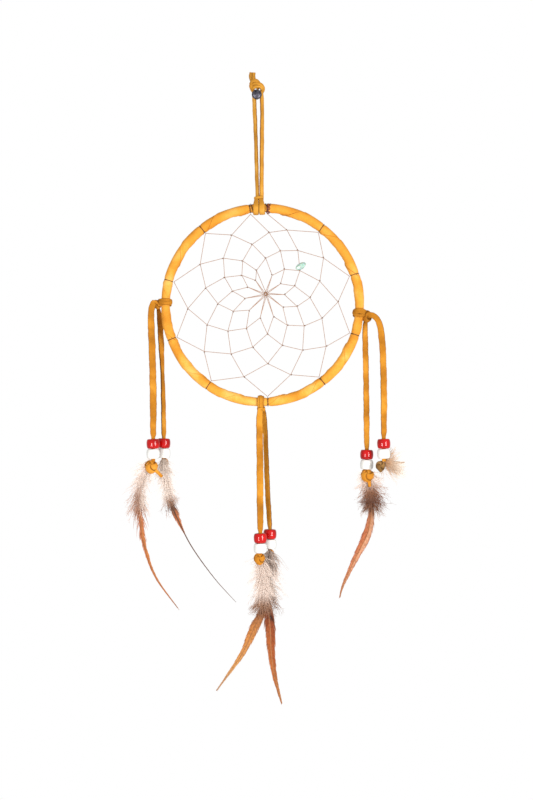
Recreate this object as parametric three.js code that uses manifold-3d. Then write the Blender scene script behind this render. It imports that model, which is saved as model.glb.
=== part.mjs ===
// A dream catcher: a leather-wrapped hoop with a netted web, hung by a doubled lace,
// with three pairs of beaded thongs that end in cock hackles.
// Millimetres, +Z up, +Y towards the wall behind it, so it is seen from -Y with +X to the right.
// The origin is the place where the nail bears in the hanging loop.
import * as THREE from "three";
import { mergeVertices } from "three/addons/utils/BufferGeometryUtils.js";
import Module from "manifold-3d";

const wasm = await Module();
wasm.setup();

// ---- Driving dimensions ----
const clearance = 0.3; // between two pieces that touch

const hoopRadius = 64; // centre line of the hoop's rod
const hoopAside = 3; // the hoop's centre, right of the nail
const loopDrop = 76.9; // from the nail to the middle of the rod at the hoop's top
const coreRadius = 1.5; // the steel rod
const wrapWall = 1.3; // thickness of the suede wound on it
const wrapBreak = 2.6; // width of the break between the wrap's ends, in degrees
const hoopSteps = 60;

const laceWidth = 4; // the pendants' suede lace
const laceThickness = 1.6;
const hangerWidth = 3.2; // the hanging loop's lace, from front to back
const hangerThickness = 2.2;

const threadRadius = 0.3; // the sinew of the web
const centreRing = 1.5; // radius of the ring that the web is drawn into
const webCentre = [2, 7.2]; // that ring's place from the hoop's centre
const roundTension = 0.55; // how hard each round of the web pulls, next to the one outside it
const roundEasing = 0.05; // by what share that ratio's power eases with each round
// where the sinew is tied round the hoop, in degrees clockwise from the top
const tieAngles = [2.7, 37.5, 71.7, 107.8, 141.9, 176.9, 214, 249.4, 284.6, 321.4, 352.5];
const webRounds = 5;

const beadRadius = 4.35;
const beadHeight = 6.3;
const boreRadius = 1.9;
const knotRadius = 3.3; // the end knots under the beads

const chipSize = [3.4, 1.7, 2.2]; // half sizes of the turquoise chip

// ---- Sizes that follow from them ----
const wrapInner = coreRadius + clearance + 0.1;
const wrapRadius = wrapInner + wrapWall;
const bandInner = wrapRadius + clearance + 0.2;
const bandOuter = bandInner + 1.2;
const tieRadius = wrapRadius + clearance + threadRadius + 0.15;
const hoopHeight = -(loopDrop + hoopRadius);
const layer = beadRadius + 0.25; // how far the front and back pendants lie from the hoop's plane
const knotDepth = layer - laceThickness / 2 - 0.4; // half the depth of a lashing's knot

// ---- Shapes ----

/** A closed geometry as a manifold solid with its faces pointing out. */
function solidOf(geometry) {
  const bare = geometry.index ? geometry.toNonIndexed() : geometry.clone();
  bare.deleteAttribute("normal");
  bare.deleteAttribute("uv");
  const merged = mergeVertices(bare, 1e-4);
  const build = (triVerts) =>
    new wasm.Manifold(
      new wasm.Mesh({ numProp: 3, vertProperties: merged.attributes.position.array, triVerts }),
    );
  const faces = new Uint32Array(merged.index.array);
  const made = build(faces);
  return made.volume() > 0 ? made : build(faces.reverse());
}

/** A manifold solid as a three.js geometry. */
function geometryOf(solid) {
  const mesh = solid.getMesh();
  const stride = mesh.numProp;
  const places = new Float32Array(mesh.numVert * 3);
  for (let i = 0; i < mesh.numVert; i++) {
    places.set(mesh.vertProperties.subarray(i * stride, i * stride + 3), i * 3);
  }
  const geometry = new THREE.BufferGeometry();
  geometry.setAttribute("position", new THREE.BufferAttribute(places, 3));
  geometry.setIndex(new THREE.BufferAttribute(mesh.triVerts, 1));
  geometry.computeVertexNormals();
  return geometry;
}

/** Several closed geometries joined into one. */
function joined(geometries) {
  return geometryOf(geometries.map(solidOf).reduce((whole, next) => whole.add(next)));
}

/** The corners of a regular polygon. */
function corners(count, radius) {
  return Array.from({ length: count }, (_, i) => {
    const angle = (2 * Math.PI * (i + 0.5)) / count;
    return new THREE.Vector2(radius * Math.cos(angle), radius * Math.sin(angle));
  });
}

/** A section with cut corners, "across" wide in the plane of its path and "deep" along Y. */
function flatSection(across, deep) {
  const cut = 0.3 * Math.min(across, deep);
  const [a, d] = [across / 2, deep / 2];
  const outline = [
    [d, cut - a],
    [d, a - cut],
    [d - cut, a],
    [cut - d, a],
    [-d, a - cut],
    [-d, cut - a],
    [cut - d, -a],
    [d - cut, -a],
  ];
  return new THREE.Shape(outline.map(([x, y]) => new THREE.Vector2(x, y)));
}

/** A lace carried along points [x, z] in the plane at depth y. */
function laceAlong(points, y, section, steps) {
  const path = new THREE.CatmullRomCurve3(points.map(([x, z]) => new THREE.Vector3(x, y, z)));
  return new THREE.ExtrudeGeometry(section, { steps, bevelEnabled: false, extrudePath: path });
}

/** A straight round rod from one place to another. */
function rodBetween(from, to, radius, sides) {
  const along = to.clone().sub(from);
  const rod = new THREE.CylinderGeometry(radius, radius, along.length(), sides);
  const turn = new THREE.Quaternion().setFromUnitVectors(
    new THREE.Vector3(0, 1, 0),
    along.clone().normalize(),
  );
  const middle = from.clone().add(to).multiplyScalar(0.5);
  return rod.applyQuaternion(turn).translate(middle.x, middle.y, middle.z);
}

/** A ball stretched to three half sizes. */
function pebble([x, y, z], wide = 12, high = 8) {
  return new THREE.SphereGeometry(1, wide, high).rotateX(Math.PI / 2).scale(x, y, z);
}

/** The place at an angle clockwise from the hoop's top, some way outside its centre line. */
function onHoop(degrees, out = 0) {
  const angle = THREE.MathUtils.degToRad(degrees);
  const reach = hoopRadius + out;
  return [hoopAside + reach * Math.sin(angle), hoopHeight + reach * Math.cos(angle)];
}

/** Moves a shape made about the rod, with X along it and Z away from the hoop's centre. */
function atHoop(geometry, degrees) {
  const [x, z] = onHoop(degrees);
  return geometry.rotateY(THREE.MathUtils.degToRad(degrees)).translate(x, 0, z);
}

/** A flat-walled ring round the rod. */
function bandRound(width) {
  const side = width / 2;
  const profile = [
    [bandInner, -side],
    [bandOuter - 0.3, -side],
    [bandOuter, 0.3 - side],
    [bandOuter, side - 0.3],
    [bandOuter - 0.3, side],
    [bandInner, side],
    [bandInner, -side],
  ].map(([r, h]) => new THREE.Vector2(r, h));
  return new THREE.LatheGeometry(profile, 16).rotateZ(-Math.PI / 2);
}

// ---- The object ----
const dreamCatcher = new THREE.Group();

/** Adds one named piece. */
function addPiece(name, geometry, [color, roughness, metalness = 0]) {
  const material = new THREE.MeshStandardMaterial({ color, roughness, metalness });
  const mesh = new THREE.Mesh(geometryOf(solidOf(geometry)), material);
  mesh.name = name;
  dreamCatcher.add(mesh);
}

const wrapSuede = [0xe9a53a, 0.85];
const laceSuede = [0xcf8a2e, 0.9];
const steel = [0x8f8f92, 0.35, 1];
const sinew = [0x8a5a34, 0.6];
const redGlass = [0xc4141c, 0.12];
const whiteGlass = [0xf4f2ee, 0.15];
const hackle = [0xb9703c, 0.8];
const turquoise = [0x9fd8c4, 0.4];

// ---- Hoop: a steel rod inside a suede tube whose ends meet under the hitch ----
const core = new THREE.TorusGeometry(hoopRadius, coreRadius, 8, hoopSteps);
core.rotateX(Math.PI / 2).translate(hoopAside, 0, hoopHeight);
addPiece("hoop_core", core, steel);

const hitchAngle = -2.15;

/** The wrap's centre line, once round from one side of its break to the other. */
class WrapLine extends THREE.Curve {
  getPoint(t, target = new THREE.Vector3()) {
    const degrees = hitchAngle + wrapBreak / 2 + t * (360 - wrapBreak);
    const [x, z] = onHoop(degrees);
    return target.set(x, 0, z);
  }
}
const wrapSection = new THREE.Shape(corners(10, wrapRadius));
const innerSides = 8;
const innerCorners = corners(innerSides, wrapInner / Math.cos(Math.PI / innerSides));
wrapSection.holes.push(new THREE.Path(innerCorners));
addPiece(
  "hoop_wrap",
  new THREE.ExtrudeGeometry(wrapSection, {
    steps: hoopSteps,
    bevelEnabled: false,
    extrudePath: new WrapLine(),
  }),
  wrapSuede,
);

// ---- Web: each place k hitches on the stretch between places k - 11 and k - 10 ----
const ties = tieAngles.length;
const woven = webRounds * ties + ties - 3; // the last places, where the thread turns into the ring
const places = [];
for (let k = 0; k < woven + ties; k++) {
  if (k < ties) {
    places.push(new THREE.Vector2(...onHoop(tieAngles[k], -tieRadius)));
  } else {
    const angle = (2 * Math.PI * (k - woven)) / ties;
    const reach = centreRing + (k < woven ? 1 - k / woven : 0) * hoopRadius;
    places.push(
      new THREE.Vector2(
        hoopAside + webCentre[0] + reach * Math.sin(angle),
        hoopHeight + webCentre[1] + reach * Math.cos(angle),
      ),
    );
  }
}
const stretches = [];
for (let k = 0; k < woven; k++) {
  stretches.push([k, k + ties]);
  stretches.push([k + 1, k + ties]);
}
// Stretches of one round pull about equally hard, so the net is relaxed until each hitch balances.
const relaxingSweeps = 400;
for (let sweep = 0; sweep < relaxingSweeps; sweep++) {
  const pulled = places.map(() => ({ sum: new THREE.Vector2(), weight: 0 }));
  for (const [a, b] of stretches) {
    const round = (b - ties) / ties;
    const tension = roundTension ** (round * (1 - roundEasing * round));
    const pull = tension / (places[a].distanceTo(places[b]) + clearance) ** 0.75;
    pulled[a].sum.addScaledVector(places[b], pull);
    pulled[a].weight += pull;
    pulled[b].sum.addScaledVector(places[a], pull);
    pulled[b].weight += pull;
  }
  for (let k = ties; k < woven; k++) {
    places[k].copy(pulled[k].sum).divideScalar(pulled[k].weight);
  }
}

/** A place of the web in space. */
const webPlace = (k) => new THREE.Vector3(places[k].x, 0, places[k].y);

/** An outline with each side moved inwards, or null if it closes up. */
function inset(drawn, distance) {
  const outline = THREE.ShapeUtils.area(drawn) > 0 ? drawn : drawn.toReversed();
  const count = outline.length;
  const ways = outline.map((p, i) => outline[(i + 1) % count].clone().sub(p).normalize());
  const moved = outline.map((p, i) => {
    const [before, after] = [ways[(i + count - 1) % count], ways[i]];
    const inwards = new THREE.Vector2(-before.y - after.y, before.x + after.x).normalize();
    const slant = Math.max(0.25, -before.y * inwards.x + before.x * inwards.y);
    return p.clone().addScaledVector(inwards, distance / slant);
  });
  const open = moved.every((p, i) => moved[(i + 1) % count].clone().sub(p).dot(ways[i]) > threadRadius);
  return open ? moved : null;
}

// The net is a flat grille: its edge runs in and out between the ties and the first round, and
// each mesh of it is the gap between places k, k + 10, k + 21 and k + 11.
const edge = [];
for (let k = 1; k < ties; k++) {
  edge.push(places[k], places[k + ties]);
}
edge.push(places[ties]);
const grille = new THREE.Shape(inset(edge, -threadRadius));
for (let k = 1; k < woven - ties + 1; k++) {
  const [a, b, c, d] = [k, k + ties - 1, k + 2 * ties - 1, k + ties].map((i) => places[i]);
  const pointed = [a, b, c.clone().lerp(d, 0.5)]; // a mesh too narrow at its inner side
  const gap = inset([a, b, c, d], threadRadius) ?? inset(pointed, threadRadius);
  grille.holes.push(new THREE.Path(gap));
}
const net = new THREE.ExtrudeGeometry(grille, { depth: 2 * threadRadius, bevelEnabled: false });
const ring = new THREE.TorusGeometry(centreRing, 1.3 * threadRadius, 5, ties);
const webPieces = [
  net.rotateX(Math.PI / 2).translate(0, threadRadius, 0),
  rodBetween(webPlace(0), webPlace(ties), threadRadius, 4),
  ring.rotateX(Math.PI / 2).translate(hoopAside + webCentre[0], 0, hoopHeight + webCentre[1]),
];
for (const degrees of tieAngles) {
  const tie = new THREE.TorusGeometry(tieRadius, threadRadius, 5, 12).rotateY(Math.PI / 2);
  webPieces.push(atHoop(tie, degrees));
}
addPiece("web", joined(webPieces), sinew);

// ---- Turquoise chip: drilled, and threaded on the stretch above one hitch of the web ----
const chipHitch = 33;
const chipThread = [webPlace(chipHitch), webPlace(chipHitch - ties)];
const chipLift = chipThread[1].clone().sub(chipThread[0]);
chipLift.setLength(chipSize[2] + threadRadius + 2 * clearance);
const chipCentre = chipThread[0].clone().add(chipLift);
const chipBody = pebble(chipSize, 9, 6);
chipBody.translate(chipCentre.x + 1.2, 0, chipCentre.z);
const chipBore = rodBetween(...chipThread, 1.5 * threadRadius + clearance, 8);
addPiece(
  "turquoise_chip",
  geometryOf(solidOf(chipBody).subtract(solidOf(chipBore))),
  turquoise,
);

// ---- Hanger: two runs of lace from the hitch on the hoop to the knot that the nail bears on ----
const hitchTurns = 2;
const hitchWidth = 1.14 * hitchTurns * hangerWidth;
const hitchBar = new THREE.BoxGeometry(hitchWidth, 1.6, 2.2).translate(0, -bandInner - 0.3, bandInner + 0.1);
addPiece("hanger_hitch", atHoop(joined([bandRound(hitchWidth), hitchBar]), hitchAngle), laceSuede);

const hangerFoot = -(loopDrop - bandOuter - 1.2 * clearance);
const hangerLaces = {
  left: [
    [-0.3, hangerFoot],
    [-0.8, -55],
    [-1.5, -30],
    [-2.3, -10],
    [-2.7, -clearance],
  ],
  right: [
    [2.3, hangerFoot],
    [2.4, -55],
    [2.6, -30],
    [2.7, -10],
    [2.1, -clearance],
  ],
};
const hangerSection = flatSection(hangerThickness, hangerWidth);
for (const [side, points] of Object.entries(hangerLaces)) {
  addPiece(`hanger_lace_${side}`, laceAlong(points, 0, hangerSection, 7), laceSuede);
}

const knotHeight = 4.4; // half the height of the knot above the nail
const tails = [
  [-5.3, 12.2],
  [-2.4, 12.8],
].map(([x, z], i) => {
  const middle = new THREE.Vector3(-1, 0.9 - 1.8 * i, knotHeight);
  return rodBetween(middle, new THREE.Vector3(x, middle.y, z), 1.1, 6);
});
const loopKnot = pebble([4.3, 3.4, knotHeight]).translate(-0.8, 0, knotHeight);
addPiece("loop_knot", joined([loopKnot, ...tails]), laceSuede);

// ---- Lashings and pendants ----
// A lashing has its place round the hoop and its knot's place along and away from the rod.
// A thong leaves its knot at an exit [x, z] from the knot's middle, and its route's points are
// measured from that exit. A spine is the middle of a feather's blade, from under the beads.
const lashings = {
  left: {
    angle: 271.6,
    width: 4.4,
    knot: [-1.6, 5.2],
    knotRadius: 2.6,
    pendants: {
      outer: {
        side: -1,
        exit: [-3.6, 0.6],
        route: [
          [0, 0],
          [-0.5, -8],
          [0.2, -30],
          [0.9, -60],
          [0.9, -88.2],
        ],
        spine: [
          [0, 0],
          [-5, -16],
          [-6, -38],
          [-4.4, -63],
          [3.4, -78.2],
          [17, -99],
        ],
        down: [0.34, 6.5],
        blade: 2.8,
      },
      inner: {
        side: 1,
        exit: [0.6, -3.4],
        route: [
          [0, 0],
          [0.6, -8],
          [1.8, -30],
          [2.8, -58],
          [3.2, -84],
        ],
        spine: [
          [0, 0],
          [3.5, -14],
          [5.6, -32],
          [11, -49],
          [26.2, -70.6],
          [46.9, -95],
        ],
        down: [0.38, 5],
        blade: 1.1,
      },
    },
  },
  right: {
    angle: 95,
    width: 4.6,
    knot: [1.5, 5],
    knotRadius: 3.2,
    pendants: {
      outer: {
        side: -1,
        exit: [1.6, 0.9],
        route: [
          [0, 0],
          [3.6, -1.2],
          [6.6, -6],
          [8.2, -15],
          [9.1, -30],
          [9.6, -55],
          [9.5, -80.6],
        ],
        spine: [
          [0, 0],
          [1.2, -4],
          [5.5, -7.5],
          [11, -9.5],
        ],
        down: [0.85, 4.5],
        blade: 1.5,
      },
      inner: {
        side: 1,
        exit: [-0.8, -2.5],
        route: [
          [0, 0],
          [0.1, -8],
          [0.6, -30],
          [1, -58],
          [1.2, -84.6],
        ],
        spine: [
          [0, 0],
          [3.6, -17],
          [3.4, -32],
          [2, -45],
          [-5.7, -58.5],
          [-17.2, -86.5],
        ],
        down: [0.45, 7.5],
        blade: 3.2,
      },
    },
  },
  bottom: {
    angle: 181.2,
    width: 4.2,
    knot: [-0.5, 4.7],
    knotRadius: 2.4,
    pendants: {
      left: {
        side: -1,
        exit: [-1.2, -2],
        route: [
          [0, 0],
          [0.1, -8],
          [0.4, -30],
          [0.5, -55],
          [0.7, -78.6],
        ],
        spine: [
          [0, 0],
          [2.5, -18],
          [1.2, -40],
          [-7.3, -55],
          [-17, -71],
          [-29.6, -91],
        ],
        down: [0.42, 7.5],
        blade: 3.4,
      },
      right: {
        side: 1,
        exit: [2.2, -2.2],
        route: [
          [0, 0],
          [0.3, -8],
          [1.2, -30],
          [2.2, -55],
          [3.6, -76.4],
        ],
        spine: [
          [0, 0],
          [-1.5, -20],
          [-2, -38],
          [-1.6, -62],
          [0.9, -85],
          [5.9, -101],
        ],
        down: [0.4, 7],
        blade: 3.7,
      },
    },
  },
};

/** A barrel-shaped glass bead about its own middle, with its bore along Z. */
function beadShape() {
  const top = beadHeight / 2;
  const profile = [
    [boreRadius, -top],
    [beadRadius - 1, -top],
    [beadRadius - 0.15, 1.1 - top],
    [beadRadius, 0],
    [beadRadius - 0.15, top - 1.1],
    [beadRadius - 1, top],
    [boreRadius, top],
    [boreRadius, -top],
  ].map(([r, h]) => new THREE.Vector2(r, h));
  return new THREE.LatheGeometry(profile, 12).rotateX(Math.PI / 2);
}

/** A thong: its lace, rounded at the top to turn in the lashing and at the foot above the beads. */
function thongShape(route, y) {
  const [top, foot] = [route[0], route.at(-1)];
  const section = flatSection(laceWidth, laceThickness);
  const eyeRadius = 0.56 * laceWidth;
  const hemRadius = 0.43 * laceThickness;
  const eye = new THREE.CylinderGeometry(eyeRadius, eyeRadius, laceThickness - 0.2, 12);
  const hem = new THREE.CylinderGeometry(hemRadius, hemRadius, laceWidth - 0.7, 8);
  hem.rotateZ(Math.PI / 2);
  return joined([
    laceAlong(route, y, section, 11),
    eye.translate(top[0], y, top[1]),
    hem.translate(foot[0], y, foot[1] - 0.1 * laceThickness),
  ]);
}

/** A feather: a flat blade along its spine, with a quill that stands up into the beads. */
function featherShape({ spine, down, blade }, x, y, z, quill) {
  const bladeDepth = 2.2;
  const curve = new THREE.SplineCurve(spine.map((p) => new THREE.Vector2(...p)));
  const [downShare, downWidth] = down;
  const samples = 13;
  const right = [];
  const left = [];
  for (let i = 0; i <= samples; i++) {
    const t = i / samples;
    const middle = curve.getPointAt(t);
    const across = curve.getTangentAt(t).rotateAround(new THREE.Vector2(), Math.PI / 2);
    const fluffed = Math.max(0, Math.sin(Math.PI * Math.min(1, t / downShare)));
    const half = 0.35 + blade * Math.min(1, 6 * t) * (1 - t) + (downWidth - blade) * fluffed;
    right.push(middle.clone().addScaledVector(across, half));
    left.unshift(middle.clone().addScaledVector(across, -half));
  }
  const outline = new THREE.Shape([...right, ...left]);
  const vane = new THREE.ExtrudeGeometry(outline, { depth: bladeDepth, bevelEnabled: false });
  vane.rotateX(Math.PI / 2).translate(x, y + quill.aside + bladeDepth, z);
  const stem = rodBetween(
    new THREE.Vector3(x, y + quill.aside, z - 4),
    new THREE.Vector3(x, y + quill.aside, z + quill.length),
    quill.radius,
    8,
  );
  return joined([vane, stem]);
}

for (const [place, lashing] of Object.entries(lashings)) {
  // the band and its knot, which is a short drum from front to back, hollowed for the rod
  const [alongRod, away] = lashing.knot;
  const drum = new THREE.CylinderGeometry(lashing.knotRadius, lashing.knotRadius, 2 * knotDepth, 12);
  drum.translate(alongRod, 0, away);
  const rodBore = new THREE.CylinderGeometry(bandInner + 0.1, bandInner + 0.1, 4 * laceWidth, 16);
  const hollowed = geometryOf(solidOf(drum).subtract(solidOf(rodBore.rotateZ(Math.PI / 2))));
  const band = bandRound(lashing.width);
  addPiece(`${place}_lashing`, atHoop(joined([band, hollowed]), lashing.angle), laceSuede);

  const turn = THREE.MathUtils.degToRad(lashing.angle);
  const [rodX, rodZ] = onHoop(lashing.angle, away);
  const knotX = rodX + alongRod * Math.cos(turn);
  const knotZ = rodZ - alongRod * Math.sin(turn);

  for (const [which, pendant] of Object.entries(lashing.pendants)) {
    const name = `${place}_${which}`;
    const y = pendant.side * layer;
    const [exitX, exitZ] = [knotX + pendant.exit[0], knotZ + pendant.exit[1]];
    const route = pendant.route.map(([dx, dz]) => [exitX + dx, exitZ + dz]);
    addPiece(`${name}_thong`, thongShape(route, y), laceSuede);

    // the beads hang under the thong's foot, and the knot under them
    const [x, footZ] = route.at(-1);
    const redTop = footZ - laceThickness / 2 - clearance;
    const redMiddle = redTop - beadHeight / 2;
    const whiteMiddle = redMiddle - beadHeight - clearance;
    const beadsFoot = whiteMiddle - beadHeight / 2;
    addPiece(`${name}_red_bead`, beadShape().translate(x, y, redMiddle), redGlass);
    addPiece(`${name}_white_bead`, beadShape().translate(x, y, whiteMiddle), whiteGlass);

    // the lace's end fills the front of the bore, and the feather's quill the back of it
    const endRadius = (boreRadius - clearance) * 0.56;
    const endAside = endRadius + clearance - boreRadius;
    const quillRadius = (boreRadius - clearance) * 0.28;
    const quill = {
      radius: quillRadius,
      aside: endAside + endRadius + clearance + quillRadius,
      length: beadHeight,
    };
    const knotBack = quill.aside - quillRadius - clearance;
    const knotFlat = 0.58 * knotRadius;
    const knotZ0 = beadsFoot - clearance - knotRadius;
    const endKnot = pebble([knotRadius, knotFlat, knotRadius], 12, 8);
    endKnot.translate(x, y + knotBack - knotFlat, knotZ0);
    const laceEnd = rodBetween(
      new THREE.Vector3(x, y + endAside, knotZ0),
      new THREE.Vector3(x, y + endAside, redTop - clearance),
      endRadius,
      8,
    );
    addPiece(`${name}_end_knot`, joined([endKnot, laceEnd]), laceSuede);
    addPiece(
      `${name}_feather`,
      featherShape(pendant, x, y, beadsFoot - 1.5 * clearance, quill),
      hackle,
    );
  }
}

export default dreamCatcher;
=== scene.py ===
"""A dream catcher: a suede-wrapped hoop with a sinew web, hung by a doubled lace, with three
pairs of beaded thongs that end in feathers."""

import math

import bpy
import numpy as np
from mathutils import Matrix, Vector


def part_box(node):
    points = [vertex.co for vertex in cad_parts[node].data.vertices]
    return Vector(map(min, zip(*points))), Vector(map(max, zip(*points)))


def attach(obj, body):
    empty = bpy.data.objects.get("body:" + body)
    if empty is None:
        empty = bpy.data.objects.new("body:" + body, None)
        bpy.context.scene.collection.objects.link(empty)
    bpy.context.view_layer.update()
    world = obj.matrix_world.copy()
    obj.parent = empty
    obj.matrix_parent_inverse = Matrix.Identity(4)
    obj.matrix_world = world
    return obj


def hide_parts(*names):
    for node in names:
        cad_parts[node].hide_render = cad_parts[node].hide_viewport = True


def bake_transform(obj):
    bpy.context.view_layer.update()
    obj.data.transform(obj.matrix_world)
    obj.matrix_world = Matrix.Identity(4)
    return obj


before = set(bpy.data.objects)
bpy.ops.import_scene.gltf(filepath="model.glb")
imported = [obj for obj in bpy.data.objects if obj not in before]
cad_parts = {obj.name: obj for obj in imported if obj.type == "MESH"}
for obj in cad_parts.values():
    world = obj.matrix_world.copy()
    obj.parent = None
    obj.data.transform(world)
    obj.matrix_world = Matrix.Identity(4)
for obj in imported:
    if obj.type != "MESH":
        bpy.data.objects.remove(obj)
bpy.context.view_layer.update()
MM = 0.001


# ---- Camera and light ----
# The hanging is looked at square on, from a little over a metre away, with a long lens. Two soft
# boxes stand to the left and right of the camera and an even white room lights the rest.
view_height = 528 * MM
lens = bpy.data.cameras.new("camera")
lens.lens = 85
lens.sensor_width = 36
camera = bpy.data.objects.new("camera", lens)
camera.location = (5.6 * MM, -view_height * lens.lens / lens.sensor_width, -203.6 * MM)
camera.rotation_euler = (math.radians(90), 0, 0)
bpy.context.collection.objects.link(camera)
bpy.context.scene.camera = camera
bpy.context.scene.view_settings.view_transform = "Standard"


def soft_box(name, place, aim, width, height, watts):
    """A rectangular lamp that faces one point."""
    lamp = bpy.data.lights.new(name, "AREA")
    lamp.shape, lamp.size, lamp.size_y, lamp.energy = "RECTANGLE", width, height, watts
    box = bpy.data.objects.new(name, lamp)
    box.location = place
    away = np.array(place, float) - np.array(aim, float)
    turn = math.atan2(away[0], -away[1])
    box.rotation_euler = (math.acos(away[2] / np.linalg.norm(away)), 0, turn)
    bpy.context.collection.objects.link(box)


middle = (5.6 * MM, 0, -200 * MM)
soft_box("left_soft_box", (-0.6, -1.1, -0.45), middle, 0.4, 0.6, 9.5)
soft_box("right_soft_box", (0.75, -0.95, -0.2), middle, 0.35, 0.7, 12.5)

room = bpy.data.worlds.new("white_room")
room.use_nodes = True
bpy.context.scene.world = room
walls = room.node_tree.nodes["Background"]
seen = room.node_tree.nodes.new("ShaderNodeBackground")
for shade, brightness in ((walls, 0.48), (seen, 1.0)):
    shade.inputs["Color"].default_value = (1, 1, 1, 1)
    shade.inputs["Strength"].default_value = brightness
which = room.node_tree.nodes.new("ShaderNodeLightPath")
either = room.node_tree.nodes.new("ShaderNodeMixShader")
room.node_tree.links.new(which.outputs["Is Camera Ray"], either.inputs[0])
room.node_tree.links.new(walls.outputs[0], either.inputs[1])
room.node_tree.links.new(seen.outputs[0], either.inputs[2])
room.node_tree.links.new(either.outputs[0], room.node_tree.nodes["World Output"].inputs[0])


# ---- Hoop rod ----
# A steel ring, bent from 3 mm wire. It is out of sight inside the wrap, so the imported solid
# serves as it is, with drawn wire's fine scratches.
hoop_radius = 64
hoop_centre = (3, -140.9)


def colour(hex_digits):
    """A paint-box colour in the linear values that the shaders take."""
    share = np.array([int(hex_digits[i : i + 2], 16) for i in (0, 2, 4)]) / 255
    return (*np.where(share <= 0.04045, share / 12.92, ((share + 0.055) / 1.055) ** 2.4), 1)


def finish(name, roughness, **sockets):
    """A new material with plain numbers on its Principled shader."""
    material = bpy.data.materials.new(name)
    material.use_nodes = True
    shader = material.node_tree.nodes["Principled BSDF"]
    shader.inputs["Roughness"].default_value = roughness
    for socket, value in sockets.items():
        shader.inputs[socket.replace("_", " ")].default_value = value
    return material


def add_node(material, kind, inputs=None, **settings):
    """A new node: an input takes another node's output, or a value."""
    node = material.node_tree.nodes.new("ShaderNode" + kind)
    for setting, value in settings.items():
        setattr(node, setting, value)
    for socket, value in (inputs or {}).items():
        if isinstance(value, bpy.types.NodeSocket):
            material.node_tree.links.new(value, node.inputs[socket])
        else:
            node.inputs[socket].default_value = value
    return node


def drive(material, socket, output):
    """Joins an output to a socket of the material's shader."""
    shader = material.node_tree.nodes["Principled BSDF"]
    material.node_tree.links.new(output, shader.inputs[socket])


def on_object(material, scale=1.0):
    """The place on the piece, in metres times a scale."""
    where = add_node(material, "TexCoord").outputs["Object"]
    if scale == 1.0:
        return where
    return add_node(material, "VectorMath", {0: where, 3: scale}, operation="SCALE").outputs[0]


def cloud(material, where, size, detail=3.0, roughness=0.5):
    """Soft noise whose lumps are about a size in metres across."""
    inputs = {"Vector": where, "Scale": 1 / size, "Detail": detail, "Roughness": roughness}
    return add_node(material, "TexNoise", inputs).outputs["Fac"]


def ramp(material, share, *stops):
    """Colours or greys along a value: each stop is a position and a colour."""
    node = add_node(material, "ValToRGB", {"Fac": share})
    marks = node.color_ramp.elements
    while len(marks) < len(stops):
        marks.new(0.5)
    for mark, (position, paint) in zip(marks, stops):
        mark.position = position
        mark.color = colour(paint) if isinstance(paint, str) else (paint, paint, paint, 1)
    return node.outputs["Color"]


def mixed(material, share, first, second, how="MIX"):
    """Two colours mixed by a share."""
    node = add_node(material, "Mix", data_type="RGBA", blend_type=how)
    for socket, value in ((0, share), (6, first), (7, second)):
        if isinstance(value, bpy.types.NodeSocket):
            material.node_tree.links.new(value, node.inputs[socket])
        else:
            node.inputs[socket].default_value = value
    return node.outputs[2]


def bumped(material, height, depth, strength=1.0):
    """Lifts the surface by a height times a depth in metres."""
    node = add_node(material, "Bump", {"Height": height, "Distance": depth, "Strength": strength})
    drive(material, "Normal", node.outputs["Normal"])


wire = finish("drawn_steel", 0.35, Metallic=1.0)
scratches = cloud(wire, on_object(wire), 0.0004, detail=4)
drive(wire, "Base Color", ramp(wire, scratches, (0.3, "6f6f72"), (0.7, "a3a3a6")))
drive(wire, "Roughness", ramp(wire, scratches, (0.3, 0.28), (0.7, 0.45)))
bumped(wire, scratches, 0.00002)
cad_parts["hoop_core"].data.materials.clear()
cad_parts["hoop_core"].data.materials.append(wire)


# ---- Hoop wrap ----
# One long strip of golden suede, wound round the rod in a spiral with each turn lapped over the
# last. Its lap shows as a slanting line and it gathers on the inside. The sinew pinches it at
# the ties, and the laces press it flat where they are tied round it.
wrap_radius = 3.2
wrap_turns = 14
wrap_rows = 84 * wrap_turns
wrap_columns = 56
lap_step = 0.34
tie_pinch = 0.42
band_press = 0.22
band_angles = np.radians([-2.15, 95, 181.2, 271.6])
tie_angles = np.radians([2.7, 37.5, 71.7, 107.8, 141.9, 176.9, 214, 249.4, 284.6, 321.4, 352.5])


def grid_faces(rows, columns, ring=True, shift=0, joined=False):
    """Quads between neighbouring points of a grid numbered row by row. A ring joins the last
    column to the first, some rows back; a joined grid closes its last row on its first."""
    row = np.arange(rows if joined else rows - 1)[:, None]
    column = np.arange(columns if ring else columns - 1)[None, :]
    over = (column == columns - 1) * shift
    beside = (column + 1) % columns
    corners = [
        row * columns + column,
        (row - over) % rows * columns + beside,
        (row + 1 - over) % rows * columns + beside,
        (row + 1) % rows * columns + column,
    ]
    return np.stack(corners, -1).reshape(-1, 4)


def ripple(along, waves, seed):
    """A smooth random line: a sum of sines of falling height, of which the longest has a wave."""
    phases = np.random.default_rng(seed).uniform(0, 2 * np.pi, (5, 2))
    line = 0
    for step, (phase, stretch) in enumerate(phases):
        line = line + np.sin(along * waves * 1.7**step * (1 + 0.05 * stretch) + phase) / 1.5**step
    return line / 2.2


def new_piece(name, points, faces, material, body=None, slot=None, attributes=None, smooth=True):
    """A mesh object from arrays of points in millimetres and of faces."""
    mesh = bpy.data.meshes.new(name)
    mesh.from_pydata((np.asarray(points).reshape(-1, 3) * MM), [], faces)
    mesh.update()
    mesh.polygons.foreach_set("use_smooth", np.full(len(mesh.polygons), smooth))
    for label, values in (attributes or {}).items():
        layer = mesh.attributes.new(label, "FLOAT", "POINT")
        layer.data.foreach_set("value", np.asarray(values, np.float32).ravel())
    mesh.materials.append(material)
    piece = bpy.data.objects.new(name, mesh)
    bpy.context.collection.objects.link(piece)
    if body:
        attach(piece, body)
    return piece


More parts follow.
